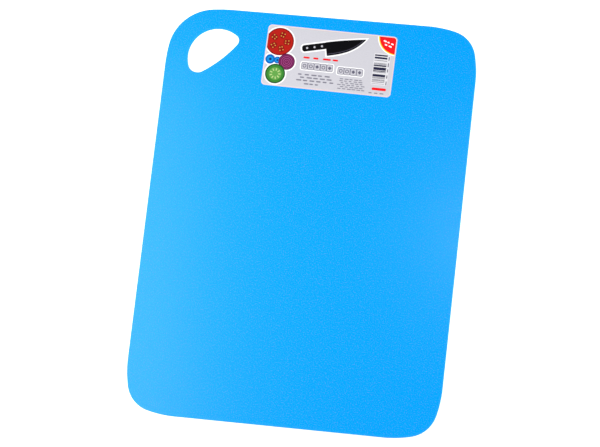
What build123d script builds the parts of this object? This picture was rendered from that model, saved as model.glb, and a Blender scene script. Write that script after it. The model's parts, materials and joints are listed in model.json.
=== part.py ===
"""A thin flexible cutting mat with rounded corners, a hanging hole and a stuck-on label.

Millimetres. The mat lies flat, face up: +X is to its right, +Y towards its hole end, +Z up.
The origin is under the middle of the sheet, on the surface that it lies on.
The mat is one moulded sheet. It is cut here along the lines that it bends on, so that its two
long sides can be lifted into a chute: a flat band along each long side, and narrow strips between.
"""
import os
from math import atan2, cos, hypot, sin, sqrt

from build123d import *

# Sheet
sheet_width = 260.0
sheet_length = 345.0
sheet_thickness = 2.0
rim_round = 0.5

# Corners: a main arc with a gentler arc on each side of it, which starts at the reach
corner_radius = 25.1
corner_lead_radius = 96.0
corner_reach = 44.5

# The larger corner round the hanging hole
hole_corner_radius = 38.4
hole_corner_lead_radius = 143.0
hole_corner_reach = 52.1

# Hanging hole: two rounded tips joined by an outer and an inner arc.
# The tips' places are measured from the sheet's left side and from its hole end.
side_tip_radius = 5.4
side_tip_from_left = 54.2
side_tip_from_end = 26.3
low_tip_radius = 8.2
low_tip_from_left = 27.5
low_tip_from_end = 47.8
hole_outer_radius = 24.7
hole_inner_radius = 102.0

# Bending: flat sheet beside the hole, and how many lines each side bends on
hole_to_bend = 5.4
bends_per_side = 9

# Label, its middle measured from the sheet's left side and hole end, turned slightly clockwise
label_width = 108.7
label_height = 51.9
label_thickness = 0.1
label_corner_radius = 3.3
label_from_left = 137.1
label_from_end = 36.7
label_turn = -1.0

# Places worked out from the sizes above
left_side = -sheet_width / 2
hole_end = sheet_length / 2
side_band_width = side_tip_from_left + side_tip_radius + hole_to_bend
strips_per_side = bends_per_side - 1
strip_width = (sheet_width - 2 * side_band_width) / (2 * strips_per_side + 1)


def corner_points(radius, lead_radius, reach):
    """The ends of a corner's three arcs, as distances from the two sides that it joins.

    The lead arc's centre is (reach, lead_radius). The main arc's centre is the same distance c
    from both sides, and the two centres are lead_radius - radius apart, which gives c.
    """
    along = reach + lead_radius
    product = (reach**2 + lead_radius**2 - (lead_radius - radius) ** 2) / 2
    centre = (along - sqrt(along**2 - 4 * product)) / 2
    towards = atan2(centre - lead_radius, centre - reach)
    join = (centre + radius * cos(towards), centre + radius * sin(towards))
    return [(reach, 0), join, (join[1], join[0]), (0, reach)]


def outline_corners():
    """The four corners in turn, anticlockwise from the right-hand one at the hole end."""
    plain = corner_points(corner_radius, corner_lead_radius, corner_reach)
    large = corner_points(hole_corner_radius, hole_corner_lead_radius, hole_corner_reach)
    corners = []
    for right, up, points in ((1, 1, plain), (-1, 1, large), (-1, -1, plain), (1, -1, plain)):
        placed = [(right * (sheet_width / 2 - u), up * (sheet_length / 2 - v)) for u, v in points]
        corners.append(placed[::-1] if right == up else placed)
    return corners


def holding_centre(first, first_radius, second, second_radius, radius):
    """The centre of a circle that holds two smaller circles inside it, touching both.

    It lies to the left of the way from the first circle's centre to the second's.
    """
    across = (second[0] - first[0], second[1] - first[1])
    apart = hypot(*across)
    to_first = radius - first_radius
    to_second = radius - second_radius
    along = (to_first**2 - to_second**2 + apart**2) / (2 * apart)
    aside = sqrt(to_first**2 - along**2)
    unit = (across[0] / apart, across[1] / apart)
    return (
        first[0] + along * unit[0] - aside * unit[1],
        first[1] + along * unit[1] + aside * unit[0],
    )


def touch_point(tip, tip_radius, centre):
    """Where a tip's circle touches the circle of that centre that holds it."""
    apart = hypot(tip[0] - centre[0], tip[1] - centre[1])
    return (
        tip[0] + tip_radius * (tip[0] - centre[0]) / apart,
        tip[1] + tip_radius * (tip[1] - centre[1]) / apart,
    )


# The sheet before it is cut along its bending lines
side_tip = (left_side + side_tip_from_left, hole_end - side_tip_from_end)
low_tip = (left_side + low_tip_from_left, hole_end - low_tip_from_end)
outer_centre = holding_centre(side_tip, side_tip_radius, low_tip, low_tip_radius, hole_outer_radius)
inner_centre = holding_centre(low_tip, low_tip_radius, side_tip, side_tip_radius, hole_inner_radius)
outer_start = touch_point(side_tip, side_tip_radius, outer_centre)
outer_end = touch_point(low_tip, low_tip_radius, outer_centre)
inner_start = touch_point(low_tip, low_tip_radius, inner_centre)
inner_end = touch_point(side_tip, side_tip_radius, inner_centre)

with BuildPart() as sheet:
    with BuildSketch() as face:
        with BuildLine() as outline:
            corners = outline_corners()
            for before, corner in zip(corners[-1:] + corners[:-1], corners):
                side = Line(before[-1], corner[0])
                lead_in = TangentArc(corner[0], corner[1], tangent=side % 1)
                main_arc = TangentArc(corner[1], corner[2], tangent=lead_in % 1)
                TangentArc(corner[2], corner[3], tangent=main_arc % 1)
        make_face()
        with BuildLine() as hole:
            from_centre = (outer_start[0] - outer_centre[0], outer_start[1] - outer_centre[1])
            outer_arc = TangentArc(outer_start, outer_end, tangent=(-from_centre[1], from_centre[0]))
            low_arc = TangentArc(outer_end, inner_start, tangent=outer_arc % 1)
            inner_arc = TangentArc(inner_start, inner_end, tangent=low_arc % 1)
            TangentArc(inner_end, outer_start, tangent=inner_arc % 1)
        make_face(mode=Mode.SUBTRACT)
    extrude(amount=sheet_thickness)
    fillet(sheet.faces().filter_by(Axis.Z).edges(), radius=rim_round)


def write_piece(piece, name):
    """Label a finished piece and write it under its name."""
    piece.part.label = name
    export_step(piece.part, f"parts/{name}.step")


def cut_plane(x):
    """The upright plane that cuts the sheet at x, facing right."""
    return Plane(origin=(x, 0, 0), x_dir=(0, 1, 0), z_dir=(1, 0, 0))


os.makedirs("parts", exist_ok=True)

# The strip in the middle of the sheet
with BuildPart() as centre_strip:
    add(sheet.part)
    split(bisect_by=cut_plane(-strip_width / 2), keep=Keep.TOP)
    split(bisect_by=cut_plane(strip_width / 2), keep=Keep.BOTTOM)
write_piece(centre_strip, "sheet_centre_strip")

# The bending strips, numbered outwards from the middle strip
for number in range(1, strips_per_side + 1):
    near = (number - 1 / 2) * strip_width
    far = (number + 1 / 2) * strip_width
    for hand, low, high in (("left", -far, -near), ("right", near, far)):
        with BuildPart() as strip:
            add(sheet.part)
            split(bisect_by=cut_plane(low), keep=Keep.TOP)
            split(bisect_by=cut_plane(high), keep=Keep.BOTTOM)
        write_piece(strip, f"sheet_{hand}_strip_{number}")

# The flat band along the left side, with the hanging hole
with BuildPart() as left_band:
    add(sheet.part)
    split(bisect_by=cut_plane(side_band_width - sheet_width / 2), keep=Keep.BOTTOM)
write_piece(left_band, "sheet_left_band")

# The flat band along the right side
with BuildPart() as right_band:
    add(sheet.part)
    split(bisect_by=cut_plane(sheet_width / 2 - side_band_width), keep=Keep.TOP)
write_piece(right_band, "sheet_right_band")

# The printed label, stuck to the face of the sheet
with BuildPart() as label:
    with BuildSketch(Plane.XY.offset(sheet_thickness)) as label_face:
        with Locations((left_side + label_from_left, hole_end - label_from_end)):
            RectangleRounded(label_width, label_height, label_corner_radius, rotation=label_turn)
    extrude(amount=label_thickness)
write_piece(label, "label")
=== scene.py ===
"""The looks of a thin flexible cutting mat: its moulded sheet, its printed label and a plain studio.

Everything is in metres, in the part's frame. The mat lies flat, face up, with +X to its right, +Y towards
its hole end and the origin under its middle. Its two long sides lift into a chute, so the sheet between
them is made of stretches, one for each bending line.
"""
import functools
import json
import logging
import math
from dataclasses import dataclass, field
from enum import Enum

import bmesh
import bpy
import numpy as np
from mathutils import Matrix, Vector

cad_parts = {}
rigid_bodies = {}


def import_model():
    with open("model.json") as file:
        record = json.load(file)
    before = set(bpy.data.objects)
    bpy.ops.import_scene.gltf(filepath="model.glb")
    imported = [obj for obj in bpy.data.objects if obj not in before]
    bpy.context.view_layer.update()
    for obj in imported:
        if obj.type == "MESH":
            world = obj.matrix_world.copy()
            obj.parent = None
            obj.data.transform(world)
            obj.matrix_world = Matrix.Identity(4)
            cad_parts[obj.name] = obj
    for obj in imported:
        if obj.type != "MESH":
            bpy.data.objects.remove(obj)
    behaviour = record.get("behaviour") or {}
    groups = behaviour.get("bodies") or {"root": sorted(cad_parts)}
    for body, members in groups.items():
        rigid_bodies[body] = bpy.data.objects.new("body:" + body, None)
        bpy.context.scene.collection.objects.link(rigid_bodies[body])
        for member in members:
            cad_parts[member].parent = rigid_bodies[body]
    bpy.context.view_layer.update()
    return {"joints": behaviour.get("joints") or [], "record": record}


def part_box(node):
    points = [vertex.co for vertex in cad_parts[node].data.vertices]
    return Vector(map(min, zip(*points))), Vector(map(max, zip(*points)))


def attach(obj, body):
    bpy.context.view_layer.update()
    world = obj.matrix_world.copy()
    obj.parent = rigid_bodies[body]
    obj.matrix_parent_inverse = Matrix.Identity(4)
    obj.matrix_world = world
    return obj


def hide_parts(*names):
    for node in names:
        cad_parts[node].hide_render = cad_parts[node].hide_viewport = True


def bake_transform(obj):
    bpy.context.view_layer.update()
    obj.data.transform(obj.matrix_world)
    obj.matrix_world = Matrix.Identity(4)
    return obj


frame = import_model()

log = logging.getLogger("cutting_mat")

MM = 0.001
FLAT_MAP = "flat"          # the UV map that holds a piece's flat coordinates
RIM_SHARE = "rim_share"    # the attribute that rises from 0 on the face to 1 on the rim
MERGE_WITHIN = 0.001 * MM
SHARP_FROM = math.radians(35)
INK_EDGE = 0.08            # how wide the edges of printed ink are, in millimetres
WHITE = (1.0, 1.0, 1.0, 1.0)

Array = np.ndarray
Colour = tuple[float, float, float]


class Hand(Enum):
    """A side of the mat, seen from above with the hole end away from the viewer."""

    LEFT = -1
    RIGHT = 1

    @property
    def word(self) -> str:
        """The side's name, as the part's bodies and joints write it."""
        return self.name.lower()


# Shader arithmetic


class Value:
    """A number that changes over a surface. Arithmetic on it adds Math nodes to its tree."""

    def __init__(self, nodes: "Nodes", socket: bpy.types.NodeSocket) -> None:
        """Wrap a socket of that node tree."""
        self.nodes = nodes
        self.socket = socket

    def maths(self, operation: str, *others: "Value | float", first: float | None = None) -> "Value":
        """Add one Math node.

        Args:
            operation: the Math node's operation.
            others: the operands that follow.
            first: a number that comes first, before this value.

        Returns:
            The node's result.
        """
        operands = (self, *others) if first is None else (first, self)
        node = self.nodes.node("ShaderNodeMath", {"operation": operation}, dict(enumerate(operands)))
        return Value(self.nodes, node.outputs[0])

    def __add__(self, other: "Value | float") -> "Value":
        """This value plus another."""
        return self.maths("ADD", other)

    __radd__ = __add__

    def __sub__(self, other: "Value | float") -> "Value":
        """This value less another."""
        return self.maths("SUBTRACT", other)

    def __rsub__(self, other: float) -> "Value":
        """A number less this value."""
        return self.maths("SUBTRACT", first=other)

    def __mul__(self, other: "Value | float") -> "Value":
        """This value times another."""
        return self.maths("MULTIPLY", other)

    __rmul__ = __mul__

    def __truediv__(self, other: "Value | float") -> "Value":
        """This value over another."""
        return self.maths("DIVIDE", other)

    def __gt__(self, other: "Value | float") -> "Value":
        """1 where this value is the greater, 0 elsewhere."""
        return self.maths("GREATER_THAN", other)

    def __lt__(self, other: "Value | float") -> "Value":
        """1 where this value is the smaller, 0 elsewhere."""
        return self.maths("LESS_THAN", other)

    def __abs__(self) -> "Value":
        """This value without its sign."""
        return self.maths("ABSOLUTE")

    def floor(self) -> "Value":
        """The whole number below this value."""
        return self.maths("FLOOR")

    def cos(self) -> "Value":
        """The cosine of this value in radians."""
        return self.maths("COSINE")

    def larger(self, other: "Value | float") -> "Value":
        """The larger of two values."""
        return self.maths("MAXIMUM", other)

    def smaller(self, other: "Value | float") -> "Value":
        """The smaller of two values."""
        return self.maths("MINIMUM", other)

    def clamped(self) -> "Value":
        """This value kept between 0 and 1."""
        return self.larger(0.0).smaller(1.0)

    def eased(self, start: float, end: float) -> "Value":
        """How far this value is on its way from a start to an end: 3t² - 2t³, where t goes from 0 to 1."""
        way = ((self - start) / (end - start)).clamped()
        return way * way * (3 - way * 2)

    def length(self, other: "Value") -> "Value":
        """The length of the vector that this value and another make."""
        return (self * self + other * other).maths("SQRT")


class Nodes:
    """The node tree of a material or of the sky."""

    def __init__(self, owner: bpy.types.ID) -> None:
        """Start an empty tree.

        Args:
            owner: the material or world that it belongs to.
        """
        owner.use_nodes = True
        self.tree = owner.node_tree
        self.tree.nodes.clear()

    def node(self, kind: str, settings: dict[str, object], inputs: dict[str | int, object]) -> bpy.types.Node:
        """Add a node.

        Args:
            kind: the node's type.
            settings: the node's own properties, set first.
            inputs: what feeds each input, by its name or number: a value, a socket or a constant.

        Returns:
            The new node.
        """
        node = self.tree.nodes.new(kind)
        for setting, value in settings.items():
            setattr(node, setting, value)
        for name, source in inputs.items():
            if isinstance(source, Value):
                source = source.socket
            if isinstance(source, bpy.types.NodeSocket):
                self.tree.links.new(source, node.inputs[name])
            else:
                node.inputs[name].default_value = source
        return node

    def value(self, node: bpy.types.Node, output: str | int = 0) -> Value:
        """One output of a node, ready for arithmetic."""
        return Value(self, node.outputs[output])

    def split(self, vector: bpy.types.NodeSocket) -> list[Value]:
        """The three coordinates of a vector."""
        node = self.node("ShaderNodeSeparateXYZ", {}, {0: vector})
        return [self.value(node, axis) for axis in range(3)]

    def noise(self, at: bpy.types.NodeSocket, size: float, detail: float = 1.0) -> Value:
        """Smooth noise from 0 to 1, about one half on average, with spots of that size and finer layers."""
        inputs = {"Vector": at, "Scale": 1 / size, "Detail": detail}
        return self.value(self.node("ShaderNodeTexNoise", {}, inputs))

    def scatter(self, cell: Value) -> Value:
        """An even random number from 0 to 1 for each whole number."""
        return self.value(self.node("ShaderNodeTexWhiteNoise", {"noise_dimensions": "1D"}, {"W": cell}))


class Shader(Nodes):
    """The node tree of one material, and the colour of its surface so far."""

    def __init__(self, name: str, colour: Colour) -> None:
        """Start a material.

        Args:
            name: its name.
            colour: its main colour.
        """
        self.material = bpy.data.materials.new(name)
        super().__init__(self.material)
        self.colour = (*colour, 1.0)

    def lay(self, share: Value, over: Colour) -> None:
        """Lay a colour over the surface's, as much of it as the share says, from 0 to 1."""
        inputs = {0: share, 6: self.colour, 7: (*over, 1.0)}
        self.colour = self.node("ShaderNodeMix", {"data_type": "RGBA"}, inputs).outputs[2]

    def surface(self, inputs: dict[str, object]) -> bpy.types.Material:
        """End the tree in a Principled shader.

        Args:
            inputs: what feeds the shader's inputs, besides its colour.

        Returns:
            The material.
        """
        shader = self.node("ShaderNodeBsdfPrincipled", {}, {"Base Color": self.colour, **inputs})
        self.node("ShaderNodeOutputMaterial", {}, {"Surface": shader.outputs[0]})
        return self.material

    def bumped(self, height: Value, depth: float) -> bpy.types.NodeSocket:
        """The normal of a surface whose height, from 0 to 1, is that many metres deep."""
        return self.node("ShaderNodeBump", {}, {"Height": height, "Distance": depth}).outputs[0]


# Flat shapes


def directions(angles: Array) -> Array:
    """Unit vectors at those angles."""
    return np.stack([np.cos(angles), np.sin(angles)], 1)


def turned(vectors: Array, turn: float) -> Array:
    """Flat vectors turned anticlockwise: (x cos a - y sin a, x sin a + y cos a)."""
    cos, sin = math.cos(turn), math.sin(turn)
    return vectors @ np.array([[cos, sin], [-sin, cos]])


def straight(first: Array, last: Array, count: int) -> Array:
    """The ends of that many equal stretches of a straight line."""
    return first + np.linspace(0, 1, count + 1)[:, None] * (last - first)


def patch(low: Array, high: Array, start: Array, end: Array) -> Array:
    """A grid of points between four curves that meet at their ends.

    Across the grid it adds the straight blends of both pairs of opposite curves, and takes away the blend
    of the four corners, which would otherwise count twice.

    Args:
        low: points of the first row, along the grid.
        high: points of the last row.
        start: points of the first column, from the first row to the last.
        end: points of the last column.

    Returns:
        The grid, of shape (rows, columns, 2).
    """
    u = np.linspace(0, 1, len(low))[None, :, None]
    v = np.linspace(0, 1, len(start))[:, None, None]
    rows = (1 - v) * low + v * high
    columns = (1 - u) * start[:, None] + u * end[:, None]
    corners = (1 - v) * ((1 - u) * low[0] + u * low[-1]) + v * ((1 - u) * high[0] + u * high[-1])
    return rows + columns - corners


def grid_faces(rows: int, columns: int, first: int) -> Array:
    """Four vertex numbers for each face of a grid whose vertices start at that number, row by row."""
    corner = first + np.arange(rows - 1)[:, None] * columns + np.arange(columns - 1)[None, :]
    return np.stack([corner, corner + 1, corner + columns + 1, corner + columns], -1).reshape(-1, 4)


@dataclass(frozen=True)
class FlatMap:
    """A piece's flat coordinates: where their origin lies on the sheet, and how they are turned.

    The UV map holds them with the origin at the middle of its square, which is `span` metres wide.
    """

    span: float
    x: float = 0.0
    y: float = 0.0
    turn: float = 0.0

    def to_map(self, points: Array) -> Array:
        """UV places of points on the sheet: turned back about the origin, over the span, plus one half."""
        return turned(points - (self.x, self.y), -self.turn) / self.span + 0.5

    def to_sheet(self, points: Array) -> Array:
        """Places on the sheet of points in the flat coordinates: turned, and moved to the origin's place."""
        return turned(points, self.turn) + (self.x, self.y)

    def position(self, shader: Shader) -> bpy.types.NodeSocket:
        """The flat coordinates in a shader, in millimetres: the UV place less one half, times the span.

        Args:
            shader: the shader that reads them.

        Returns:
            Their socket.
        """
        place = shader.node("ShaderNodeUVMap", {"uv_map": FLAT_MAP}, {}).outputs[0]
        middle = {0: place, 1: (0.5, 0.5, 0.0)}
        centred = shader.node("ShaderNodeVectorMath", {"operation": "SUBTRACT"}, middle).outputs[0]
        scaled = {0: centred, "Scale": self.span / MM}
        return shader.node("ShaderNodeVectorMath", {"operation": "SCALE"}, scaled).outputs[0]


@dataclass(frozen=True)
class Edge:
    """A stretch of a plate's outline: its points, and a unit step from each into the plate."""

    points: Array
    steps: Array

    def inside(self, distance: float) -> Array:
        """The stretch moved into the plate by that distance."""
        return self.points + distance * self.steps

    def headings(self, middle: Array, distance: float) -> Array:
        """The heading from a middle of each point moved into the plate by that distance, without a jump."""
        offset = self.inside(distance) - middle
        return np.unwrap(np.arctan2(offset[:, 1], offset[:, 0]))

    def at_headings(self, rays: Array, headings: Array) -> "Edge":
        """A closed outline with its points at other headings, by straight lines between its own points.

        Args:
            rays: the headings wanted.
            headings: the heading of each of its own points.

        Returns:
            The outline, with a point and a step at each ray.
        """
        columns = np.concatenate([self.points, self.steps], 1).T
        found = np.stack([np.interp(rays, headings, column, period=2 * math.pi) for column in columns], 1)
        return Edge(found[:, :2], found[:, 2:])


@dataclass(frozen=True)
class BandEdge:
    """The outline of a band that is cut along one side, and has two rounded corners on its far side."""

    edge: Edge     # the outline from one end of the cut, round the two corners, to its other end
    first: int     # number of the point in the middle of the first corner
    second: int    # number of the point in the middle of the second corner

    def face(self, margin: float) -> Array:
        """The grid that fills the band between its cut and the side opposite it.

        Args:
            margin: how far inside the outline it lies.

        Returns:
            The grid, one row for each point of the far side.
        """
        outline = self.edge.inside(margin)
        side = outline[self.first:self.second + 1]
        way = (side[:, 1:] - side[0, 1]) / (side[-1, 1] - side[0, 1])
        cut = outline[0] + way * (outline[-1] - outline[0])
        return patch(outline[:self.first + 1], outline[:self.second - 1:-1], cut, side)


# Plates: the closed pieces that the sheet and the label are made of


@dataclass(frozen=True)
class Rim:
    """The rounded rim of a plate. Its grid runs from the upper face round to the underside."""

    top: float              # height of the upper face
    bottom: float           # height of the underside
    rounding: float         # radius of the rim
    margin: float           # width of the flat face that belongs to the rim's grid
    steps: int              # faces round a quarter of the rounding
    support: float = 1.1    # how far inside the outline the support line lies, in radii of the rim

    def profile(self) -> tuple[Array, Array]:
        """The rim's profile.

        A quarter circle lies r(1 - sin a) inside the outline and r(1 - cos a) below the upper face, for a
        from 0 to 90 degrees. The lower quarter mirrors it. A close support line keeps the shading of the flat
        faces flat.

        Returns:
            How far each point lies inside the outline, and its height.
        """
        turn = np.linspace(0, math.pi / 2, self.steps + 1)
        flat = [self.margin, self.support * self.rounding]
        inside = np.concatenate([flat, self.rounding * (1 - np.sin(turn))])
        below = np.concatenate([[0, 0], self.rounding * (1 - np.cos(turn))])
        heights = np.concatenate([self.top - below, self.bottom + below[::-1]])
        return np.concatenate([inside, inside[::-1]]), heights


@dataclass
class Plate:
    """A flat closed piece with a rounded rim along some of its outline, and flat cut faces elsewhere."""

    name: str
    rim: Rim
    edges: list[Edge]    # the stretches of outline that have a rim
    face: Array          # the grid that fills the upper face and the underside, of shape (rows, columns, 2)
    flat: FlatMap

    def build(self) -> bpy.types.Object:
        """Make the piece: its rims, its two faces, and the cut faces that close it.

        A rim's grid carries the profile along its edge: each point is the edge's point moved inwards by the
        profile's distance, at the profile's height.

        Returns:
            The piece, at the origin, with its place in its mesh.
        """
        inside, heights = self.rim.profile()
        grids = [(self.face, height, 0.0) for height in (self.rim.top, self.rim.bottom)]
        for edge in self.edges:
            across = edge.points[None] + inside[:, None, None] * edge.steps[None]
            grids.append((across, heights[:, None], 1 - inside[:, None] / self.rim.margin))
        points, faces, shares, first = [], [], [], 0
        for grid, height, share in grids:
            rows, columns = grid.shape[:2]
            z = np.broadcast_to(height, (rows, columns))[..., None]
            points.append(np.concatenate([grid, z], 2).reshape(-1, 3))
            shares.append(np.broadcast_to(share, (rows, columns)).reshape(-1))
            faces.append(grid_faces(rows, columns, first))
            first += rows * columns
        mesh = bpy.data.meshes.new(self.name)
        mesh.from_pydata(np.concatenate(points), [], np.concatenate(faces))
        rim_share = mesh.attributes.new(RIM_SHARE, "FLOAT", "POINT")
        rim_share.data.foreach_set("value", np.concatenate(shares).astype(np.float32))
        self.close(mesh)
        piece = bpy.data.objects.new(self.name, mesh)
        bpy.context.scene.collection.objects.link(piece)
        log.info("%s: %d faces", self.name, len(mesh.polygons))
        return piece

    def close(self, mesh: bpy.types.Mesh) -> None:
        """Join the grids into one closed mesh with its flat map.

        Args:
            mesh: the mesh that holds the grids.
        """
        shell = bmesh.new()
        shell.from_mesh(mesh)
        bmesh.ops.remove_doubles(shell, verts=shell.verts, dist=MERGE_WITHIN)
        bmesh.ops.holes_fill(shell, edges=[edge for edge in shell.edges if edge.is_boundary], sides=0)
        bmesh.ops.recalc_face_normals(shell, faces=shell.faces)
        shell.to_mesh(mesh)
        shell.free()
        mesh.shade_smooth()
        mesh.set_sharp_from_angle(angle=SHARP_FROM)
        places = np.empty(len(mesh.vertices) * 3, np.float32)
        mesh.vertices.foreach_get("co", places)
        corners = np.empty(len(mesh.loops), np.int32)
        mesh.loops.foreach_get("vertex_index", corners)
        map_places = self.flat.to_map(places.reshape(-1, 3)[corners, :2].astype(float))
        mesh.uv_layers.new(name=FLAT_MAP).uv.foreach_set("vector", map_places.astype(np.float32).ravel())


# Bending lines


@dataclass(frozen=True)
class Bend:
    """One bending line of the mat, and the stretch of sheet that it bends."""

    hand: Hand
    number: int     # its number, counted from the middle
    x: float        # where the line lies
    reach: float    # how far the bending stretch goes on each side of the line
    inner: str      # the body on the side of the middle
    outer: str      # the body on the far side

    @property
    def start(self) -> float:
        """Where the stretch starts, on the side of the middle."""
        return self.x - self.hand.value * self.reach

    @property
    def end(self) -> float:
        """Where the stretch ends."""
        return self.x + self.hand.value * self.reach

    def stations(self, count: int) -> Array:
        """Places across the stretch, closer near its ends: (1 - cos a) / 2 of the way, a in even steps."""
        share = (1 - np.cos(np.linspace(0, math.pi, count + 1))) / 2
        return self.start + share * (self.end - self.start)

    def sheet_nodes(self) -> list[str]:
        """The part's stretches of sheet on the two bodies that the line joins."""
        bodies = frame["record"]["behaviour"]["bodies"]
        return [node for node in bodies[self.inner] + bodies[self.outer] if node.startswith("sheet")]

    def bend(self, piece: bpy.types.Object) -> None:
        """Bake a piece's place into its mesh; the piece isn't made to bend."""
        self.start
        self.end
        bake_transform(piece)


def bending_lines() -> list[Bend]:
    """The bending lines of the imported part.

    Returns:
        The lines, from the middle outwards on each side.
    """
    low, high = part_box("sheet_centre_strip")
    reach = (high.x - low.x) / 2
    lines = []
    for joint in frame["joints"]:
        hand = Hand.LEFT if joint["name"].startswith(Hand.LEFT.word) else Hand.RIGHT
        number = int(joint["name"].rsplit("_", 1)[1])
        lines.append(Bend(hand, number, joint["pos_m"][0], reach, joint["parent"], joint["child"]))
    return lines


@dataclass
class Layer:
    """A flat layer of the mat, in stretches that each lie over one bending line."""

    bends: list[Bend]
    flat: FlatMap = field(init=False)
    rim: Rim = field(init=False)
    half: Array = field(init=False)        # half its width and half its height
    columns: int = 8                       # faces across each stretch
    rows: int = 30                         # faces along each stretch
    end_rows: tuple[int, int] = (4, 24)    # faces along an end's upper and lower side, and along its far side

    def line(self, x: float | Array, up: float) -> Array:
        """Flat coordinates at a height, where x = the middle's x + along * cos turn - up * sin turn."""
        along = (np.asarray(x) - self.flat.x + up * math.sin(self.flat.turn)) / math.cos(self.flat.turn)
        return np.stack([along, np.full_like(along, up)], -1)

    def stretch(self, name: str, bend: Bend) -> bpy.types.Object:
        """The stretch over one bending line, from the layer's lower to its upper edge.

        Args:
            name: the piece's name.
            bend: the bending line.

        Returns:
            The piece, over the line.
        """
        xs = bend.stations(self.columns)
        up = turned(np.broadcast_to([0.0, 1.0], (len(xs), 2)), self.flat.turn)
        edges = [Edge(self.flat.to_sheet(self.line(xs, end * self.half[1])), -end * up) for end in (-1, 1)]
        low, high = (edge.inside(self.rim.margin) for edge in edges)
        sides = (straight(low[i], high[i], self.rows) for i in (0, -1))
        piece = Plate(name, self.rim, edges, patch(low, high, *sides), self.flat).build()
        bend.bend(piece)
        return piece

    def end_edge(self, hand: Hand, cut: float, corners: list[tuple[Array, Array]]) -> BandEdge:
        """The outline of an end of the layer, from its cut round its two corners and back.

        Args:
            hand: the side that the end lies on.
            cut: where on the sheet it is cut off.
            corners: the upper and the lower corner, each as its points, as distances from its two sides
                starting on the layer's long side, and their directions towards those sides.

        Returns:
            The outline.
        """
        sign, flip = np.array([hand.value, 1]), np.array([1, -1])
        first, last = (self.line(cut, up) * sign for up in self.half[1] * flip)
        (top, top_out), (bottom, bottom_out) = corners
        top, bottom = self.half - top, (self.half - bottom[::-1]) * flip
        there = straight(first, top[0], self.end_rows[0])[:-1]
        side = straight(top[-1], bottom[0], self.end_rows[1])[1:-1]
        back = straight(bottom[-1], last, self.end_rows[0])[1:]
        points = np.concatenate([there, top, side, bottom, back])
        outward = np.concatenate([
            np.broadcast_to([0.0, 1.0], there.shape), -top_out,
            np.broadcast_to([1.0, 0.0], side.shape), -bottom_out[::-1] * flip,
            np.broadcast_to([0.0, -1.0], back.shape),
        ])
        edge = Edge(self.flat.to_sheet(points * sign), -turned(outward * sign, self.flat.turn))
        return BandEdge(edge, len(there) + len(top) // 2, len(points) - len(back) - len(bottom) // 2 - 1)

    def dress(self, pieces: list[bpy.types.Object], slot: str, material: bpy.types.Material) -> None:
        """Give the layer's pieces their finish.

        Args:
            pieces: the pieces.
            slot: the part's slot that the finish belongs to; not used.
            material: the finish.
        """
        for piece in pieces:
            piece.data.materials.append(material)


# The sheet


@dataclass(frozen=True)
class Corner:
    """A corner of the sheet: a main arc eased by a gentler lead arc on each side of it."""

    radius: float
    lead_radius: float
    reach: float       # how far from the corner the lead arcs start
    steps: int = 14    # faces along each of the three arcs

    def arcs(self) -> tuple[Array, Array]:
        """Points along the corner, as distances from its two sides, and their directions towards the sides.

        The first lead arc's centre is (reach, lead_radius). The main arc's centre is the same distance c from
        both sides, with lead_radius - radius between the two centres. The other lead arc mirrors the first.

        Returns:
            The points and the unit directions, from the first side to the second.
        """
        along, apart = self.reach + self.lead_radius, self.lead_radius - self.radius
        product = (self.reach**2 + self.lead_radius**2 - apart**2) / 2
        centre = (along - math.sqrt(along**2 - 4 * product)) / 2
        towards = math.atan2(centre - self.lead_radius, centre - self.reach)
        lead = directions(np.linspace(-math.pi / 2, towards, self.steps, endpoint=False))
        main = directions(np.linspace(towards, -0.75 * math.pi, self.steps // 2 + 1))
        lead_points = np.array([self.reach, self.lead_radius]) + self.lead_radius * lead
        points = np.concatenate([lead_points, centre + self.radius * main])
        outward = np.concatenate([lead, main])
        return tuple(np.concatenate([half, half[-2::-1, ::-1]]) for half in (points, outward))


@dataclass(frozen=True)
class Circle:
    """A circle on the sheet."""

    centre: Array
    radius: float

    def held_with(self, other: "Circle", radius: float) -> "Circle":
        """The circle of a radius that holds this circle and another inside it, touching both.

        Its centre is radius - r away from the centre of each circle of radius r that it holds, to the left of
        the way from this circle to the other.

        Args:
            other: the other circle.
            radius: the radius of the circle that holds them.

        Returns:
            The circle that holds them.
        """
        across = other.centre - self.centre
        apart = float(np.hypot(*across))
        unit = across / apart
        away, other_away = radius - self.radius, radius - other.radius
        along = (away**2 - other_away**2 + apart**2) / (2 * apart)
        aside = math.sqrt(away**2 - along**2)
        return Circle(self.centre + along * unit + aside * np.array([-unit[1], unit[0]]), radius)


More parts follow.
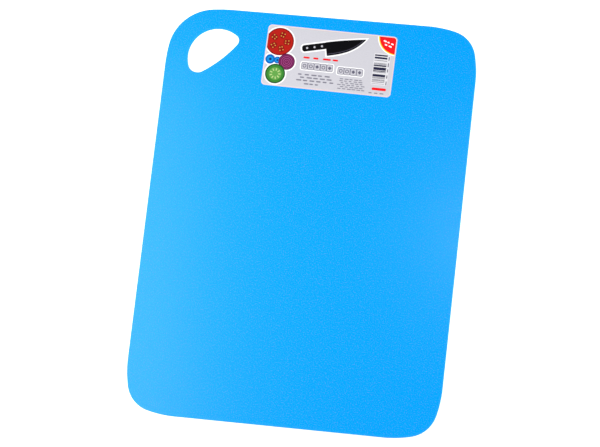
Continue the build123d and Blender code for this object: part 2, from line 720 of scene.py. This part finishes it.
@dataclass(frozen=True)
class HangingHole:
    """The hanging hole: two rounded tips joined by an outer and an inner arc.

    The tips' centres are measured from the sheet's left side and from its hole end.
    """

    side_tip: tuple[float, float] = (54.2 * MM, 26.3 * MM)  # the one nearer the middle
    side_radius: float = 5.4 * MM
    low_tip: tuple[float, float] = (27.5 * MM, 47.8 * MM)
    low_radius: float = 8.2 * MM
    outer_radius: float = 24.7 * MM     # radius of the arc on the corner's side
    inner_radius: float = 102.0 * MM    # radius of the arc on the sheet's side
    steps: int = 32                     # faces along each arc

    def outline(self, left: float, hole_end: float) -> Edge:
        """The hole's outline, anticlockwise, with steps out into the sheet.

        Each arc's points are its centre plus its radius times the direction, and the direction is the step.

        Args:
            left: the sheet's left side.
            hole_end: the sheet's end near the hole.

        Returns:
            The closed outline.
        """
        side = Circle(np.array([left + self.side_tip[0], hole_end - self.side_tip[1]]), self.side_radius)
        low = Circle(np.array([left + self.low_tip[0], hole_end - self.low_tip[1]]), self.low_radius)
        outer, inner = side.held_with(low, self.outer_radius), low.held_with(side, self.inner_radius)
        touching = ((side, outer), (low, outer), (low, inner), (side, inner))
        headings = [math.atan2(*(tip.centre - arc.centre)[::-1]) for tip, arc in touching]
        turns = np.unwrap([*headings, headings[0]])
        points, steps = [], []
        for circle, start, end in zip((outer, low, inner, side), turns[:-1], turns[1:]):
            outward = directions(np.linspace(start, end, self.steps, endpoint=False))
            points.append(circle.centre + circle.radius * outward)
            steps.append(outward)
        return Edge(np.concatenate(points), np.concatenate(steps))


@dataclass(frozen=True)
class MouldedPlastic:
    """The sheet's finish: bright blue plastic, satin, with a fine moulded grain."""

    colour: Colour = (0.0, 0.302, 0.85)
    hollow: Colour = (0.0, 0.272, 0.81)     # the colour in the grain's hollows
    top: Colour = (0.0, 0.330, 0.88)        # the colour on the grain's tops
    glint: Colour = (0.045, 0.270, 0.85)    # the colour of the fine painted glints
    line: Colour = (0.012, 0.312, 0.88)     # the colour of the painted highlight line inside the rim
    edge: Colour = (0.0, 0.320, 0.86)       # the colour of the painted light on the thin rim, lighter than the face
    grain: float = 1.0                      # size of the grain in millimetres
    glitter: float = 0.9                    # size of the fine glitter and its painted glints, in millimetres
    cloud: float = 42.0                     # size of the faint clouds in millimetres
    against: float = 0.4                    # how much of the glitter is taken off the grain's height
    contrast: float = 5.0                   # how strongly the height changes the colour
    cloudiness: float = 0.3                 # how strongly the clouds change it
    glint_against: float = 0.6              # how much of the grain is taken off the glitter
    glint_from: float = 0.33                # what is left where the painted glints begin
    glint_fade: float = 12.0                # how steeply they come in
    line_at: float = 0.35                   # the rim share at the middle of the painted highlight line
    line_fade: float = 6.5                  # how steeply the painted highlight line fades with the rim share
    line_share: float = 0.9                 # how much of the painted highlight line's colour is laid
    rim_from: float = 0.54                  # the rim share where the painted rim light begins
    rim_fade: float = 3.9                   # how steeply the painted rim light comes in
    satin: float = 0.25                     # the average roughness
    unevenness: float = 0.6                 # how strongly the fine grain changes the roughness
    rim_roughness: float = 0.6              # how much rougher the rim is
    reflection: float = 0.25                # the strength of its reflections
    grain_share: float = 0.6                # the grain's share of the relief, which the glitter fills up
    depth: float = 0.04 * MM                # how deep the relief is

    def material(self, flat: FlatMap) -> bpy.types.Material:
        """The sheet's material.

        The grain and the glitter are two noises. The face stands up where the first is high and the second
        low, and painted glints lie where the second is far above the first.

        Args:
            flat: the sheet's flat coordinates.

        Returns:
            The material.
        """
        shader = Shader("moulded_plastic", self.colour)
        at = flat.position(shader)
        grain, fine = shader.noise(at, self.grain), shader.noise(at, self.glitter)
        cloud = shader.noise(at, self.cloud, detail=2.0)
        height = (grain - 0.5 - (fine - 0.5) * self.against) * self.contrast + (cloud - 0.5) * self.cloudiness
        shader.lay((height * -1).clamped(), self.hollow)
        shader.lay(height.clamped(), self.top)
        # painted glints: redder flecks in the colour, standing in for fine specular glints
        glints = (fine - grain * self.glint_against - self.glint_from) * self.glint_fade
        shader.lay(glints.clamped(), self.glint)
        share = shader.value(shader.node("ShaderNodeAttribute", {"attribute_name": RIM_SHARE}, {}), "Fac")
        # a painted highlight line inside the rim, where its rounding would catch light
        line = (2 - abs(share - self.line_at) * self.line_fade).clamped()
        shader.lay(line * self.line_share, self.line)
        # painted light on the rim, which also makes the rim rougher
        rim = ((share - self.rim_from) * self.rim_fade).clamped()
        shader.lay(rim, self.edge)
        return shader.surface({
            "Roughness": self.satin + (fine - 0.5) * self.unevenness + rim * self.rim_roughness,
            "Specular IOR Level": self.reflection,
            "Normal": shader.bumped(grain * self.grain_share + fine * (1 - self.grain_share), self.depth),
        })


@dataclass
class Sheet(Layer):
    """The moulded sheet: two flat side bands, one with the hanging hole, and the stretches over the bending
    lines.
    """

    corner: Corner = Corner(radius=25.1 * MM, lead_radius=96 * MM, reach=44.5 * MM)
    hole_corner: Corner = Corner(radius=38.4 * MM, lead_radius=143 * MM, reach=52.1 * MM)
    hole: HangingHole = HangingHole()
    rounding: float = 0.5 * MM    # radius of the rim
    margin: float = 1.3 * MM      # width of the face made with the rim, less than the hole is from the cut
    rim_steps: int = 6            # faces round a quarter of the rim
    room: float = 1.05            # the flat map's width, in lengths of the sheet
    cut_rows: int = 40            # faces along the cut beside the hole
    rings: int = 6                # rings of faces round the hole
    ray_gap: float = 0.004        # the least turn between two rays from the hole's middle
    finish: MouldedPlastic = MouldedPlastic()

    def __post_init__(self) -> None:
        """Take the sheet's sizes from the part."""
        low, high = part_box("sheet_left_band")
        self.half = np.array([-low.x, high.y])
        self.flat = FlatMap(self.room * 2 * high.y)
        self.rim = Rim(high.z, low.z, self.rounding, self.margin, self.rim_steps)

    def build(self) -> list[bpy.types.Object]:
        """Make every piece of the sheet in its finish, the side bands riding on their bodies.

        Returns:
            The pieces.
        """
        pieces = []
        for bend in self.bends:
            piece = self.stretch(f"mat_{bend.hand.word}_bend_{bend.number}", bend)
            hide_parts(*bend.sheet_nodes())
            pieces.append(piece)
        pieces += [self.side_band(hand) for hand in Hand]
        self.dress(pieces, "sheet", self.finish.material(self.flat))
        return pieces

    def side_band(self, hand: Hand) -> bpy.types.Object:
        """The flat band along one side of the sheet.

        Args:
            hand: the side.

        Returns:
            The piece, riding on the band's body.
        """
        cut = hand.value * max(bend.end for bend in self.bends)
        at_hole_end = self.hole_corner if hand is Hand.LEFT else self.corner
        band = self.end_edge(hand, cut, [at_hole_end.arcs(), self.corner.arcs()])
        rims, face = [band.edge], band.face(self.rim.margin)
        if hand is Hand.LEFT:
            rims, face = self.round_hole(band.edge)
        piece = Plate(f"mat_{hand.word}_side", self.rim, rims, face, self.flat).build()
        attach(piece, f"{hand.word}_band")
        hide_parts(f"sheet_{hand.word}_band")
        return piece

    def round_hole(self, rim: Edge) -> tuple[list[Edge], Array]:
        """The rims and the face of the band with the hanging hole.

        Its faces are rings between the band's outline and the hole's, joined along rays from the middle of
        the hole. Each ring lies a share of the way from one outline to the other.

        Args:
            rim: the band's outline, but for its cut.

        Returns:
            The stretches of outline that have a rim, and the rings.
        """
        cut = straight(rim.points[-1], rim.points[0], self.cut_rows)[1:-1]
        around = Edge(np.concatenate([rim.points, cut]), np.concatenate([rim.steps, np.zeros_like(cut)]))
        hole = self.hole.outline(-self.half[0], self.half[1])
        middle = (hole.points.min(0) + hole.points.max(0)) / 2
        margin, turn = self.rim.margin, 2 * math.pi
        outer, inner = around.headings(middle, margin), hole.headings(middle, margin)
        extra = outer[0] + (inner - outer[0]) % turn
        apart = np.abs(np.subtract.outer(extra, outer)).min(1)
        rays = np.sort(np.concatenate([outer, extra[apart > self.ray_gap]]))
        rays = np.append(rays, rays[0] + turn)
        around, hole = around.at_headings(rays, outer), hole.at_headings(rays, inner)
        far, near = around.inside(margin), hole.inside(margin)
        face = far + np.linspace(0, 1, self.rings + 1)[:, None, None] * (near - far)
        last = int(np.argmin(np.abs(rays - outer[len(rim.points) - 1]))) + 1
        return [Edge(around.points[:last], around.steps[:last]), hole], face


# What is printed on the label, in millimetres


class Ink(Enum):
    """The colours that the label shows."""

    GROUND = (0.475, 0.468, 0.515)
    BARE_FILM = (0.70, 0.57, 0.54)
    WHITE = (0.84, 0.84, 0.85)
    BLACK = (0.001, 0.001, 0.002)
    NAVY = (0.016, 0.016, 0.045)
    GREY = (0.10, 0.097, 0.14)
    PALE_GREY = (0.18, 0.175, 0.22)
    RED = (0.74, 0.008, 0.012)
    YELLOW = (0.82, 0.60, 0.03)
    TOMATO_SKIN = (0.17, 0.002, 0.001)
    TOMATO_FLESH = (0.38, 0.009, 0.005)
    TOMATO_CHAMBER = (0.22, 0.004, 0.002)
    TOMATO_SEED = (0.55, 0.26, 0.05)
    ONION_SKIN = (0.09, 0.001, 0.045)
    ONION_LAYER = (0.27, 0.045, 0.16)
    CUCUMBER_SKIN = (0.005, 0.06, 0.010)
    CUCUMBER_FLESH = (0.035, 0.19, 0.025)
    CUCUMBER_MIDDLE = (0.10, 0.30, 0.055)
    CUCUMBER_SEED = (0.42, 0.55, 0.22)
    BERRY_SKIN = (0.001, 0.11, 0.42)
    BERRY_BLOOM = (0.002, 0.23, 0.62)
    BERRY_CROWN = (0.002, 0.03, 0.16)


@dataclass(frozen=True)
class Print:
    """The printed face, seen from one place on it: the coordinates along the label and up it."""

    shader: Shader
    across: Value
    up: Value

    def moved(self, x: float, y: float, turn: float = 0.0) -> "Print":
        """The face seen from another place.

        Args:
            x: how far along the label the place is.
            y: how far up the label it is.
            turn: how far the view is turned anticlockwise, in degrees.

        Returns:
            The face with that place as its origin.
        """
        along, above = self.across - x, self.up - y
        if turn:
            cos, sin = math.cos(math.radians(turn)), math.sin(math.radians(turn))
            along, above = along * cos + above * sin, above * cos - along * sin
        return Print(self.shader, along, above)

    def around(self, count: int, out: float, aside: float) -> "Print":
        """The face seen from the nearest of some places spread evenly round the origin.

        A place's angle is measured from the nearest of the evenly spaced lines, and its distance is kept. The
        lower half along each line mirrors the upper half.

        Args:
            count: how many lines there are.
            out: how far along its line a place is.
            aside: how far from its line it is.

        Returns:
            The face with the nearest place as its origin.
        """
        sector = 2 * math.pi / count
        angle = self.up.maths("ARCTAN2", self.across)
        angle = angle - (angle / sector + 0.5).floor() * sector
        radius = self.disc(0.0)
        return Print(self.shader, radius * angle.cos() - out, abs(radius * angle.maths("SINE")) - aside)

    def disc(self, radius: float) -> Value:
        """Distance outside a disc round the origin: the distance from the origin less its radius."""
        return self.across.length(self.up) - radius

    def box(self, width: float, height: float, rounding: float = 0.0) -> Value:
        """Distance outside a box round the origin.

        Args:
            width: the box's width.
            height: the box's height.
            rounding: radius of its corners.

        Returns:
            The distance, which is negative inside the box.
        """
        beside = abs(self.across) - (width / 2 - rounding)
        above = abs(self.up) - (height / 2 - rounding)
        if not rounding:
            return beside.larger(above)
        return beside.larger(0.0).length(above.larger(0.0)) + beside.larger(above).smaller(0.0) - rounding

    def ink(self, distance: Value, ink: Ink, grow: float = 0.0, share: Value | float = 1.0) -> None:
        """Print a shape, from the distance outside it: in an ink, grown a little, by a share from 0 to 1."""
        self.shader.lay((0.5 - (distance - grow) / INK_EDGE).clamped() * share, ink.value)


@dataclass(frozen=True)
class Disc:
    """A disc of ink, whole or in layers. The layers follow the cosine of the distance from its middle."""

    ink: Ink
    radius: float
    layers: float = 0.0      # how fast the layers follow each other, in radians per millimetre
    contrast: float = 1.6    # how sharply they part
    between: float = 0.6     # how much ink is laid halfway between them

    def draw(self, page: Print) -> None:
        """Print the disc round the origin.

        Args:
            page: the label's face, seen from the disc's middle.
        """
        share = 1.0
        if self.layers:
            share = ((page.disc(0.0) * self.layers).cos() * self.contrast + self.between).clamped()
        page.ink(page.disc(self.radius), self.ink, share=share)


@dataclass(frozen=True)
class Marks:
    """Rounded boxes on lines spread evenly round the origin, each mirrored in its line."""

    ink: Ink
    count: int
    out: float                         # how far along its line a box is
    aside: float                       # how far from its line it is
    box: tuple[float, float, float]    # its width, height and rounding

    def draw(self, page: Print) -> None:
        """Print the boxes round the origin."""
        mark = page.around(self.count, self.out, self.aside)
        mark.ink(mark.box(*self.box), self.ink)


@dataclass(frozen=True)
class Round:
    """A round picture at a place: its discs and marks, each printed over the one before."""

    x: float
    y: float
    parts: tuple[Disc | Marks, ...]

    def outline(self, page: Print) -> Value:
        """Distance outside its first disc."""
        return page.moved(self.x, self.y).disc(self.parts[0].radius)

    def draw(self, page: Print) -> None:
        """Print its parts."""
        for part in self.parts:
            part.draw(page.moved(self.x, self.y))


def berry(x: float, y: float, radius: float) -> Round:
    """A blueberry, with a pale bloom and a dark crown."""
    discs = (Ink.BERRY_SKIN, 1.0), (Ink.BERRY_BLOOM, 0.62), (Ink.BERRY_CROWN, 0.28)
    return Round(x, y, tuple(Disc(ink, share * radius) for ink, share in discs))


TOMATO = Round(-43.2, 12.0, (
    Disc(Ink.TOMATO_SKIN, radius=11.8),
    Disc(Ink.TOMATO_FLESH, radius=10.9),
    Marks(Ink.TOMATO_CHAMBER, count=5, out=6.1, aside=0.0, box=(6.0, 5.0, 2.2)),
    Marks(Ink.TOMATO_SEED, count=5, out=4.9, aside=1.0, box=(1.1, 1.1, 0.55)),
    Marks(Ink.TOMATO_SEED, count=5, out=7.4, aside=1.3, box=(1.1, 1.1, 0.55)),
))
ONION = Round(-35.3, -4.6, (
    Disc(Ink.ONION_SKIN, radius=6.9),
    Disc(Ink.ONION_LAYER, radius=5.9, layers=4.2),
))
CUCUMBER = Round(-43.6, -15.6, (
    Disc(Ink.CUCUMBER_SKIN, radius=8.4),
    Disc(Ink.CUCUMBER_FLESH, radius=7.4),
    Disc(Ink.CUCUMBER_MIDDLE, radius=5.4),
    Marks(Ink.CUCUMBER_SEED, count=9, out=3.6, aside=0.0, box=(2.2, 0.9, 0.44)),
))
FOOD = (berry(-49.3, -3.6, radius=4.1), berry(-43.2, -3.9, radius=3.0), TOMATO, ONION, CUCUMBER)
FLASH = (Disc(Ink.WHITE, radius=16.6), Disc(Ink.YELLOW, radius=15.8), Disc(Ink.RED, radius=15.0))


@dataclass(frozen=True)
class Knife:
    """A black kitchen knife with a white outline, its tip to the right."""

    place: tuple[float, float, float] = (2.6, 12.6, 13.0)
    heel: float = -7.0
    blade: float = 34.0
    spine: tuple[float, float] = (4.4, 1.9)    # its height at the heel, and how far it falls to the tip
    edge: tuple[float, float] = (7.4, 9.6)     # its depth at the heel, and how far it rises to the tip
    bevel: float = 1.5                         # how far the bevel's line is from the edge
    bevel_line: float = 0.16                   # half the line's width
    bevel_inset: float = 0.6                   # how far the line stops from the outline
    handle: tuple[float, float] = (-16.4, 1.4)
    handle_box: tuple[float, float, float] = (21.0, 5.6, 2.3)
    rivets: tuple[float, ...] = (-6.2, 0.0, 6.2)
    rivet: Disc = Disc(Ink.GROUND, radius=0.85)
    outline: float = 1.2

    def draw(self, page: Print) -> None:
        """Print the knife.

        The blade lies between its spine, which falls with the square of the way along it, and its edge, which
        rises with the cube.

        Args:
            page: the label's face.
        """
        page = page.moved(*self.place)
        way = (page.across - self.heel) / self.blade
        spine = self.spine[0] - way * way * self.spine[1]
        edge = way * way * way * self.edge[1] - self.edge[0]
        blade = (page.up - spine).larger(edge - page.up).larger(self.heel - page.across)
        handle = page.moved(*self.handle)
        shape = blade.smaller(handle.box(*self.handle_box))
        page.ink(shape, Ink.WHITE, grow=self.outline)
        page.ink(shape, Ink.BLACK)
        bevel = abs(page.up - edge - self.bevel) - self.bevel_line
        page.ink(bevel.larger(blade + self.bevel_inset), Ink.GREY)
        for place in self.rivets:
            self.rivet.draw(handle.moved(place, 0.0))


@dataclass(frozen=True)
class Symbols:
    """A row of small outlined boxes on a strip with a white outline, each with a ring or a diamond."""

    left: float
    up: float
    count: int
    pitch: float = 5.3
    longer: float = 0.3                        # how much longer the strip is than its boxes
    strip: tuple[float, float] = (6.0, 1.2)    # its height and rounding
    box: tuple[float, float, float] = (5.1, 5.8, 1.1)
    line: float = 0.20                         # half the width of a box's line
    ring: tuple[float, float] = (1.25, 0.30)   # its radius, and half its line's width
    diamond: float = 1.6
    outline: float = 0.9

    def draw(self, page: Print) -> None:
        """Print the row. A random number for each box chooses its ring or its diamond.

        Args:
            page: the label's face.
        """
        width = self.count * self.pitch
        strip = page.moved(self.left + width / 2, self.up).box(width + self.longer, *self.strip)
        page.ink(strip, Ink.WHITE, grow=self.outline)
        page.ink(strip, Ink.GROUND)
        row = page.moved(self.left + self.pitch / 2, self.up)
        cell = (row.across / self.pitch + 0.5).floor()
        one = Print(page.shader, row.across - cell * self.pitch, row.up)
        ring = abs(one.disc(self.ring[0])) - self.ring[1]
        diamond = abs(one.across) + abs(one.up) - self.diamond
        kind = page.shader.scatter(cell + self.up) > 0.5
        mark = ring * kind + diamond * (1 - kind)
        within = (cell > -0.5) * (cell < self.count - 0.5)
        one.ink((abs(one.box(*self.box)) - self.line).smaller(mark), Ink.GREY, share=within)


@dataclass(frozen=True)
class Dashes:
    """Rounded dashes in centred lines, from their place downwards.

    Each line is cut into equal cells, shifted by a random part of a cell. A cell holds one dash, and the
    dashes whose middle lies outside the line's width are left out.
    """

    ink: Ink
    place: tuple[float, ...]   # along and up the label, and a turn in degrees
    lines: int
    width: float
    pitch: float
    cell: float
    seed: float                # a number that tells one block's dashes from another's
    thick: float = 0.46        # a dash's thickness, as a share of the pitch
    shorter: float = 0.25      # by how much of its width a line is shortened at most
    least: float = 0.52        # the shortest dash, as a share of a cell
    longer: float = 0.38       # how much longer a dash is at most, as a share of a cell
    apart: float = 50.0        # how far apart the seeds of its three random draws are
    line_step: float = 31.0    # how far apart the draws for the cells of two lines are

    def draw(self, page: Print) -> None:
        """Print the dashes.

        Args:
            page: the label's face.
        """
        page, scatter, thick = page.moved(*self.place), page.shader.scatter, self.thick * self.pitch
        row = (page.up / -self.pitch).floor()
        half = self.width / 2 * (1 - scatter(row + self.seed) * self.shorter)
        way = page.across / self.cell + scatter(row + (self.seed + self.apart))
        cell = way.floor()
        drawn = scatter(row * self.line_step + cell + (self.seed + 2 * self.apart))
        dash = self.cell * (self.least + drawn * self.longer)
        middle = (cell - way) * self.cell + dash / 2
        beside = (abs(middle) - (dash - thick) / 2).larger(0.0)
        above = page.up + (row + 0.5) * self.pitch
        within = (row > -0.5) * (row < self.lines - 0.5) * (abs(middle + page.across) < half)
        page.ink(beside.length(above) - thick / 2, self.ink, share=within)


@dataclass(frozen=True)
class Block:
    """A box of ink, whole or cut into plain bars in scattered widths."""

    ink: Ink
    place: tuple[float, float]
    box: tuple[float, ...]
    share: float = 1.0
    bar: float = 0.0       # height of the thinnest bar, or 0 for a whole box
    bare: float = 0.46     # the share of the height that is left bare between bars
    seed: float = 7.0

    def draw(self, page: Print) -> None:
        """Print the box. Where it has bars, a random number for each thin row tells whether it is inked.

        Args:
            page: the label's face.
        """
        page, share = page.moved(*self.place), self.share
        if self.bar:
            share = page.shader.scatter((page.up / self.bar).floor() + self.seed) > self.bare
        page.ink(page.box(*self.box), self.ink, share=share)


PICTURES = (
    Dashes(Ink.WHITE, (48.0, 21.6, -18.0), lines=2, width=9.0, pitch=2.6, cell=3.4, seed=3.0),
    Knife(),
    Symbols(left=-22.6, up=-6.4, count=5),
    Symbols(left=8.0, up=-7.6, count=4),
    Dashes(Ink.RED, (-3.5, 2.4), lines=1, width=42.0, pitch=3.4, cell=8.2, seed=2.0),
    Dashes(Ink.PALE_GREY, (-11.0, -12.6), lines=3, width=36.0, pitch=2.5, cell=5.6, seed=5.0),
    Dashes(Ink.PALE_GREY, (-12.5, -20.4), lines=1, width=18.0, pitch=2.5, cell=4.6, seed=9.0),
    Dashes(Ink.PALE_GREY, (20.2, -13.4), lines=6, width=24.0, pitch=1.66, cell=4.0, seed=17.0),
    Dashes(Ink.PALE_GREY, (44.0, -22.6), lines=1, width=15.0, pitch=1.8, cell=4.6, seed=40.0),
    Block(Ink.RED, (44.2, -19.9), box=(12.0, 2.2, 1.1)),
    Block(Ink.WHITE, (43.6, -2.9), box=(13.6, 27.0, 0.8), share=0.35),
    Block(Ink.NAVY, (42.7, -2.9), box=(10.6, 25.2), bar=0.40),
    Dashes(Ink.GREY, (50.3, -2.9, -90.0), lines=1, width=26.0, pitch=1.7, cell=5.2, seed=21.0),
)


@dataclass(frozen=True)
class PrintedFilm:
    """The label's finish: satin white film, printed with plain pictures of food, a knife, dashes and bars."""

    width: float
    height: float
    rounding: float
    bare_edge: float = 0.9         # width of the unprinted film along its edge
    food_outline: float = 1.1      # width of the white outline round the food
    speckle: float = 0.9           # size of the film's speckles
    paleness: float = 0.2          # how much white the speckles lay on the ground
    wave: float = 14.0             # size of the film's waves
    wave_share: float = 0.9        # the waves' share of the relief, which the speckles fill up
    depth: float = 0.05 * MM       # how deep the relief is
    satin: float = 0.26            # the least roughness
    unevenness: float = 0.08       # how strongly the speckles change it
    reflection: float = 0.2        # the strength of its reflections

    def material(self, flat: FlatMap) -> bpy.types.Material:
        """The label's material: its ground, the food, the flash, the other pictures, and the bare edge.

        Args:
            flat: the label's flat coordinates.

        Returns:
            The material.
        """
        shader = Shader("printed_film", Ink.GROUND.value)
        at = flat.position(shader)
        page = Print(shader, *shader.split(at)[:2])
        speckle, waves = shader.noise(at, self.speckle), shader.noise(at, self.wave)
        shader.lay((speckle * self.paleness).clamped(), Ink.WHITE.value)
        outline = functools.reduce(Value.smaller, [food.outline(page) for food in FOOD])
        page.ink(outline, Ink.WHITE, grow=self.food_outline)
        for picture in (*FOOD, Round(self.width / 2, self.height / 2, FLASH), *PICTURES):
            picture.draw(page)
        page.ink(page.box(self.width, self.height, self.rounding) * -1, Ink.BARE_FILM, grow=self.bare_edge)
        return shader.surface({
            "Roughness": self.satin + speckle * self.unevenness,
            "Specular IOR Level": self.reflection,
            "Normal": shader.bumped(waves * self.wave_share + speckle * (1 - self.wave_share), self.depth),
        })


# The label


@dataclass
class Label(Layer):
    """The printed label, a thin film on the sheet's face, in one stretch for each bending line under it."""

    width: float = 108.7 * MM
    height: float = 51.9 * MM
    rounding: float = 3.3 * MM
    from_left: float = 137.1 * MM      # its middle, from the sheet's left side
    from_end: float = 36.7 * MM        # its middle, from the sheet's hole end
    turn: float = math.radians(-1.0)
    rim_rounding: float = 0.03 * MM
    margin: float = 0.6 * MM           # width of the face made with the rim
    rim_steps: int = 2                 # faces round a quarter of the rim
    room: float = 1.1                  # the flat map's width, in widths of the label
    past_corner: float = 1.5           # how far its end stretches reach at least, in radii of its corners
    rows: int = 24
    end_rows: tuple[int, int] = (6, 16)
    corner_steps: int = 10             # faces round a corner

    def __post_init__(self) -> None:
        """Take the label's place from the part."""
        low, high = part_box("label")
        sheet_low, sheet_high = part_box("sheet_left_band")
        middle = (sheet_low.x + self.from_left, sheet_high.y - self.from_end)
        self.half = np.array([self.width / 2, self.height / 2])
        self.flat = FlatMap(self.room * self.width, *middle, self.turn)
        self.rim = Rim(high.z, low.z, self.rim_rounding, self.margin, self.rim_steps)

    def build(self) -> list[bpy.types.Object]:
        """Make every stretch of the label in its finish.

        Returns:
            The pieces.
        """
        pieces = []
        for hand in Hand:
            end = self.flat.x + hand.value * self.half[0]
            least = self.past_corner * self.rounding
            crossed = [bend for bend in self.bends
                       if bend.hand is hand and hand.value * (end - bend.start) > least]
            pieces += [self.stretch(self.name(bend), bend) for bend in crossed[:-1]]
            pieces.append(self.end(crossed[-1]))
        for piece in pieces:
            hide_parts("label")
        finish = PrintedFilm(self.width / MM, self.height / MM, self.rounding / MM)
        self.dress(pieces, "label", finish.material(self.flat))
        return pieces

    def name(self, bend: Bend) -> str:
        """The name of the label's stretch over a bending line."""
        return f"label_{bend.hand.word}_{bend.number}"

    def end(self, bend: Bend) -> bpy.types.Object:
        """The stretch at one end of the label, with its two rounded corners.

        Each corner is a quarter circle: its centre plus the radius times the direction.

        Args:
            bend: the last bending line that the label crosses on that side.

        Returns:
            The piece, over the line.
        """
        outward = directions(np.linspace(-math.pi / 2, -math.pi, self.corner_steps + 1))
        corner = (self.rounding * (1 + outward), outward)
        outline = self.end_edge(bend.hand, bend.start, [corner, corner])
        face = outline.face(self.rim.margin)
        piece = Plate(self.name(bend), self.rim, [outline.edge], face, self.flat).build()
        bend.bend(piece)
        return piece


# The studio


@dataclass(frozen=True)
class SoftLight:
    """A square soft light, aimed at the middle of the mat."""

    name: str
    place: tuple[float, float, float]
    size: float
    power: float

    def build(self) -> None:
        """Put the light in the scene."""
        lamp = bpy.data.lights.new(self.name, "AREA")
        lamp.size, lamp.energy = self.size, self.power
        light = bpy.data.objects.new(self.name, lamp)
        light.location = self.place
        light.rotation_euler = Vector(self.place).to_track_quat("Z", "Y").to_euler()
        bpy.context.scene.collection.objects.link(light)


@dataclass(frozen=True)
class PhotoCamera:
    """The camera, placed round the point that it looks at. Its angles are in degrees."""

    target: tuple[float, float, float] = (-0.00134, -0.00345, 0.002)
    distance: float = 2.5766
    azimuth: float = 34.894        # round from the mat's near end, towards its right side
    elevation: float = 76.856      # above the floor
    roll: float = -28.925          # how far the camera is turned about its view
    lens: float = 188.02           # focal length in millimetres
    sensor: float = 36.0           # the sensor's width in millimetres

    def build(self) -> None:
        """Put the camera in the scene and make it the one that the picture is taken with."""
        azimuth, elevation, roll = map(math.radians, (self.azimuth, self.elevation, self.roll))
        level = math.cos(elevation)
        back = Vector((math.sin(azimuth) * level, -math.cos(azimuth) * level, math.sin(elevation)))
        lens = bpy.data.cameras.new("photo_camera")
        lens.lens, lens.sensor_width = self.lens, self.sensor
        camera = bpy.data.objects.new("photo_camera", lens)
        facing = back.to_track_quat("Z", "Y").to_matrix().to_4x4() @ Matrix.Rotation(roll, 4, "Z")
        camera.matrix_world = Matrix.Translation(Vector(self.target) + self.distance * back) @ facing
        bpy.context.scene.collection.objects.link(camera)
        bpy.context.scene.camera = camera


@dataclass
class Studio:
    """A pale lit floor under soft light, and the camera.

    The sky is white all round and dark overhead, so that it lights the mat evenly from the sides and its face
    reflects little of it.
    """

    floor: float = 12.0            # half the floor's width
    floor_rows: int = 8
    floor_colour: Colour = (0.90, 0.90, 0.905)
    floor_shade: Colour = (0.86, 0.86, 0.87)
    floor_cloud: float = 0.35      # size of the faint clouds in the floor
    floor_cloudiness: float = 0.04
    floor_roughness: float = 0.9
    floor_reflection: float = 0.1
    floor_glow: float = 0.6        # how much light comes through the floor
    sides: float = 1.56            # how bright the sky is all round, above the horizon
    at_ends: float = 0.5           # the share of that brightness at the mat's two ends
    horizon: float = 0.25          # the share of that brightness at the horizon
    overhead: float = 0.02         # how bright the sky is overhead
    rise: tuple[float, float] = (0.15, 0.55)     # heights on the unit sphere between which the ring rises
    fall: tuple[float, float] = (0.4, 0.87)      # heights between which it falls
    lights: tuple[SoftLight, ...] = (
        SoftLight("left_light", (-0.418, -0.039, 0.480), size=0.599, power=4.49),
        SoftLight("right_light", (0.130, 0.116, 0.602), size=0.143, power=0.26),
        SoftLight("fill_light", (0.886, 0.086, 0.400), size=0.40, power=5.49),
    )
    camera: PhotoCamera = PhotoCamera()

    def build(self) -> None:
        """Build the floor, the sky, the lights and the camera, and set plain colours for the picture."""
        self.lay_floor()
        self.hang_sky()
        for light in self.lights:
            light.build()
        bpy.context.scene.view_settings.view_transform = "Standard"
        self.camera.build()

    def hang_sky(self) -> None:
        """The sky: a bright ring, dimmer at the horizon and dark overhead.

        Its brightness rises and falls with the height on the unit sphere. Round the ring it rises with the
        square of the cosine of the angle from the mat's long sides, and its average stays the same.
        """
        world = bpy.data.worlds.new("soft_sky")
        bpy.context.scene.world = world
        nodes = Nodes(world)
        sideways, _, height = nodes.split(nodes.node("ShaderNodeTexCoord", {}, {}).outputs["Generated"])
        low, high = height.eased(*self.rise), height.eased(*self.fall)
        just_over_one = 1.001    # so that straight up it doesn't divide by zero
        beside = sideways * sideways / (just_over_one - height * height)
        around = self.at_ends + beside * (2 - 2 * self.at_ends)
        ring = around * (self.horizon + low * (1 - self.horizon)) * self.sides
        strength = (1 - high) * ring + high * self.overhead
        sky = nodes.node("ShaderNodeBackground", {}, {"Color": WHITE, "Strength": strength})
        nodes.node("ShaderNodeOutputWorld", {}, {"Surface": sky.outputs[0]})

    def lay_floor(self) -> None:
        """The floor: a flat grid at the mat's underside, with faint cloudy unevenness in its finish."""
        steps = np.linspace(-self.floor, self.floor, self.floor_rows + 1)
        x, y = np.meshgrid(steps, steps)
        mesh = bpy.data.meshes.new("floor")
        mesh.from_pydata(np.stack([x, y, np.zeros_like(x)], -1).reshape(-1, 3), [], grid_faces(*x.shape, 0))
        floor = bpy.data.objects.new("floor", mesh)
        bpy.context.scene.collection.objects.link(floor)
        shader = Shader("pale_floor", self.floor_colour)
        at = shader.node("ShaderNodeTexCoord", {}, {}).outputs["Object"]
        shader.lay(shader.noise(at, self.floor_cloud) * self.floor_cloudiness, self.floor_shade)
        mesh.materials.append(shader.surface({
            "Roughness": self.floor_roughness, "Specular IOR Level": self.floor_reflection,
            "Emission Color": WHITE, "Emission Strength": self.floor_glow,
        }))


def main() -> None:
    """Build the sheet, the label and the studio."""
    logging.basicConfig(level=logging.INFO, format="%(name)s: %(message)s")
    bends = bending_lines()
    pieces = Sheet(bends).build() + Label(bends).build()
    Studio().build()
    log.info("%d pieces, %d faces", len(pieces), sum(len(piece.data.polygons) for piece in pieces))
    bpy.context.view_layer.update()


if __name__ == "__main__":
    main()
